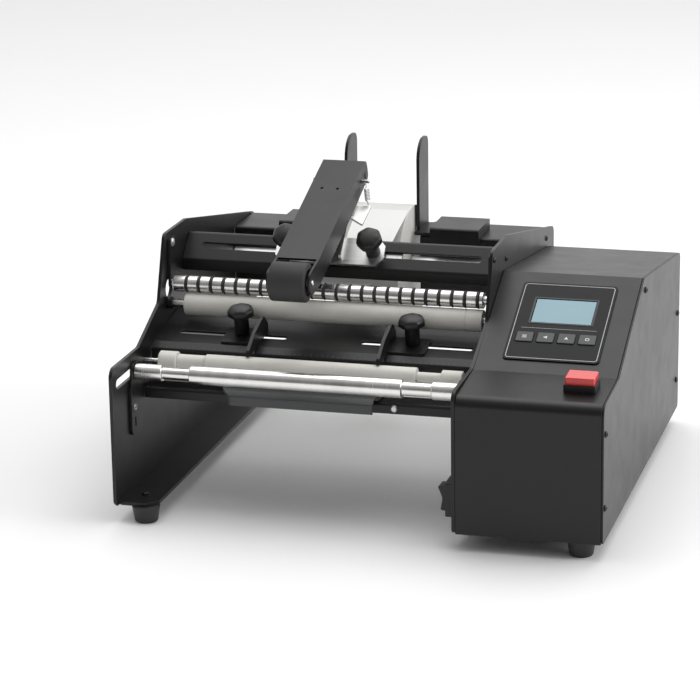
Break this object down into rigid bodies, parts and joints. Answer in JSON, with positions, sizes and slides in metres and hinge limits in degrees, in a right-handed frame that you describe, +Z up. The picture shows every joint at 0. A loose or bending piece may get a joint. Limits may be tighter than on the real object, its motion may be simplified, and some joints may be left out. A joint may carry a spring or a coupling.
{
  "type": "label applicator",
  "caption": "Benchtop label applicator with side plates, long rollers, a slotted cross bar, a sprung pressure arm and a sloping control box, open between the plates.",
  "frame": {"origin": "centre of the bounding box on the bench, under the feet", "axes": "+X to the control box side, +Y from the front to the rear, +Z up"},
  "size_m": [0.4346, 0.424, 0.2728],
  "materials": {
    "powder_black": "fine textured black powder coat",
    "bright_steel": "turned and polished",
    "aluminium": "satin",
    "zinc": "zinc plated",
    "black_rubber": "matt",
    "white_rubber": "smooth off-white covering",
    "black_plastic": "moulded, satin",
    "grey_plastic": "moulded, satin",
    "display_blue": "glossy window with a blue back light",
    "button_red": "translucent red",
    "label_paper": "coated white",
    "board_green": "solder mask"
  },
  "bodies": {
    "frame": {"left_side_plate": "powder_black", "right_side_plate": "powder_black", "foot_front_left": "black_rubber", "foot_rear_left": "black_rubber", "foot_front_right": "black_rubber", "foot_rear_right": "black_rubber", "control_housing": "powder_black", "housing_side_cover": "powder_black", "housing_base": "powder_black", "slotted_cross_bar": "powder_black", "rear_shelf_left": "powder_black", "rear_shelf_right": "powder_black", "deck_plate": "powder_black", "lower_cross_beam": "powder_black", "front_tray": "grey_plastic", "idler_hanger_left": "powder_black", "idler_hanger_right": "powder_black", "drive_bearing_left": "zinc", "roll_spindle": "aluminium", "label_web": "label_paper", "keypad_panel": "black_plastic", "display_module": "display_blue", "start_button_base": "black_plastic", "rocker_frame": "black_plastic", "drive_motor": "zinc", "drive_belt": "black_rubber", "control_board": "board_green", "power_supply": "aluminium", "mains_inlet": "black_plastic"},
    "bracket": {"arm_bracket": "aluminium", "bracket_clamp_nut": "zinc", "arm_pivot_pin": "bright_steel", "arm_spring_left": "bright_steel", "arm_spring_right": "bright_steel"},
    "arm": {"pressure_arm": "powder_black", "wheel_axle": "bright_steel"},
    "wheel": {"pressure_wheel": "black_rubber"},
    "bracket_knob_a": {"bracket_knob_left": "black_plastic"},
    "bracket_knob_b": {"bracket_knob_right": "black_plastic"},
    "front_carriage": {"carriage_left": "powder_black", "carriage_right": "powder_black"},
    "front_roller": {"front_roller": "bright_steel"},
    "support_roller": {"support_roller": "white_rubber"},
    "drive_roller": {"drive_roller": "white_rubber", "drive_pulley": "aluminium"},
    "idler_roller": {"idler_roller": "bright_steel"},
    "motor_rotor": {"motor_pulley": "aluminium"},
    "label_roll": {"label_roll": "label_paper"},
    "stop_left": {"bottle_stop_left": "powder_black"},
    "stop_right": {"bottle_stop_right": "powder_black"},
    "stop_knob_a": {"stop_knob_left": "black_plastic"},
    "stop_knob_b": {"stop_knob_right": "black_plastic"},
    "guide_left": {"roll_guide_left": "powder_black"},
    "guide_right": {"roll_guide_right": "powder_black"},
    "key_1": {"key_1": "grey_plastic"},
    "key_2": {"key_2": "grey_plastic"},
    "key_3": {"key_3": "grey_plastic"},
    "key_4": {"key_4": "grey_plastic"},
    "start_button": {"start_button": "button_red"},
    "rocker": {"rocker_switch": "black_plastic"}
  },
  "joints": [
    {"name": "bracket_slide", "type": "slide", "parent": "frame", "child": "bracket", "axis": [1, 0, 0], "range_m": [-0.075, 0.088]},
    {"name": "arm_hinge", "type": "hinge", "parent": "bracket", "child": "arm", "pos_m": [-0.0797, 0.067, 0.258], "axis": [1, 0, 0], "range_deg": [-22, 4], "stiffness_Nm_per_rad": 14, "deforming": ["arm_spring_left", "arm_spring_right"]},
    {"name": "wheel_spin", "type": "hinge", "parent": "arm", "child": "wheel", "pos_m": [-0.0797, -0.117, 0.2026], "axis": [1, 0, 0], "continuous": true},
    {"name": "bracket_knob_a_turn", "type": "hinge", "parent": "bracket", "child": "bracket_knob_a", "pos_m": [-0.1127, -0.00315, 0.20155], "axis": [0, -0.6787, 0.7344], "range_deg": [-180, 180]},
    {"name": "bracket_knob_b_turn", "type": "hinge", "parent": "bracket", "child": "bracket_knob_b", "pos_m": [-0.034, -0.00315, 0.20155], "axis": [0, -0.6787, 0.7344], "range_deg": [-180, 180]},
    {"name": "carriage_slide", "type": "slide", "parent": "frame", "child": "front_carriage", "axis": [0, 1, 0], "range_m": [-0.036, 0.01]},
    {"name": "front_roller_spin", "type": "hinge", "parent": "front_carriage", "child": "front_roller", "pos_m": [0, -0.157, 0.124], "axis": [1, 0, 0], "continuous": true},
    {"name": "support_roller_spin", "type": "hinge", "parent": "frame", "child": "support_roller", "pos_m": [0, -0.127, 0.126], "axis": [1, 0, 0], "continuous": true},
    {"name": "drive_roller_spin", "type": "hinge", "parent": "frame", "child": "drive_roller", "pos_m": [0, -0.057, 0.16], "axis": [1, 0, 0], "continuous": true},
    {"name": "idler_roller_spin", "type": "hinge", "parent": "frame", "child": "idler_roller", "pos_m": [0, -0.052, 0.1775], "axis": [1, 0, 0], "continuous": true},
    {"name": "motor_spin", "type": "hinge", "parent": "frame", "child": "motor_rotor", "pos_m": [0.0975, -0.057, 0.091], "axis": [1, 0, 0], "continuous": true},
    {"name": "label_roll_spin", "type": "hinge", "parent": "frame", "child": "label_roll", "pos_m": [-0.0673, 0.148, 0.151], "axis": [1, 0, 0], "continuous": true},
    {"name": "stop_left_slide", "type": "slide", "parent": "frame", "child": "stop_left", "axis": [1, 0, 0], "range_m": [-0.054, 0.038]},
    {"name": "stop_right_slide", "type": "slide", "parent": "frame", "child": "stop_right", "axis": [1, 0, 0], "range_m": [-0.04, 0.045]},
    {"name": "stop_knob_a_turn", "type": "hinge", "parent": "stop_left", "child": "stop_knob_a", "pos_m": [-0.1367, -0.08, 0.14012], "axis": [0, -0.1652, 0.9863], "range_deg": [-180, 180]},
    {"name": "stop_knob_b_turn", "type": "hinge", "parent": "stop_right", "child": "stop_knob_b", "pos_m": [0.0213, -0.08, 0.14012], "axis": [0, -0.1652, 0.9863], "range_deg": [-180, 180]},
    {"name": "guide_left_slide", "type": "slide", "parent": "frame", "child": "guide_left", "axis": [-1, 0, 0], "range_m": [-0.0015, 0.045]},
    {"name": "guide_right_slide", "type": "slide", "parent": "frame", "child": "guide_right", "axis": [1, 0, 0], "range_m": [-0.0015, 0.045]},
    {"name": "key_1_press", "type": "slide", "parent": "frame", "child": "key_1", "axis": [0, 0.4108, -0.9117], "range_m": [0, 0.0008], "stiffness_N_per_m": 500},
    {"name": "key_2_press", "type": "slide", "parent": "frame", "child": "key_2", "axis": [0, 0.4108, -0.9117], "range_m": [0, 0.0008], "stiffness_N_per_m": 500},
    {"name": "key_3_press", "type": "slide", "parent": "frame", "child": "key_3", "axis": [0, 0.4108, -0.9117], "range_m": [0, 0.0008], "stiffness_N_per_m": 500},
    {"name": "key_4_press", "type": "slide", "parent": "frame", "child": "key_4", "axis": [0, 0.4108, -0.9117], "range_m": [0, 0.0008], "stiffness_N_per_m": 500},
    {"name": "start_button_press", "type": "slide", "parent": "frame", "child": "start_button", "axis": [0, 0.0552, -0.9985], "range_m": [0, 0.003], "stiffness_N_per_m": 900},
    {"name": "rocker_tip", "type": "hinge", "parent": "frame", "child": "rocker", "pos_m": [0.084, -0.194, 0.0425], "axis": [0, 1, 0], "range_deg": [-5, 5]}
  ],
  "couplings": [
    {"joint": "idler_roller_spin", "follows": "drive_roller_spin", "ratio": -1.2739},
    {"joint": "motor_spin", "follows": "drive_roller_spin", "ratio": 1.3333}
  ]
}
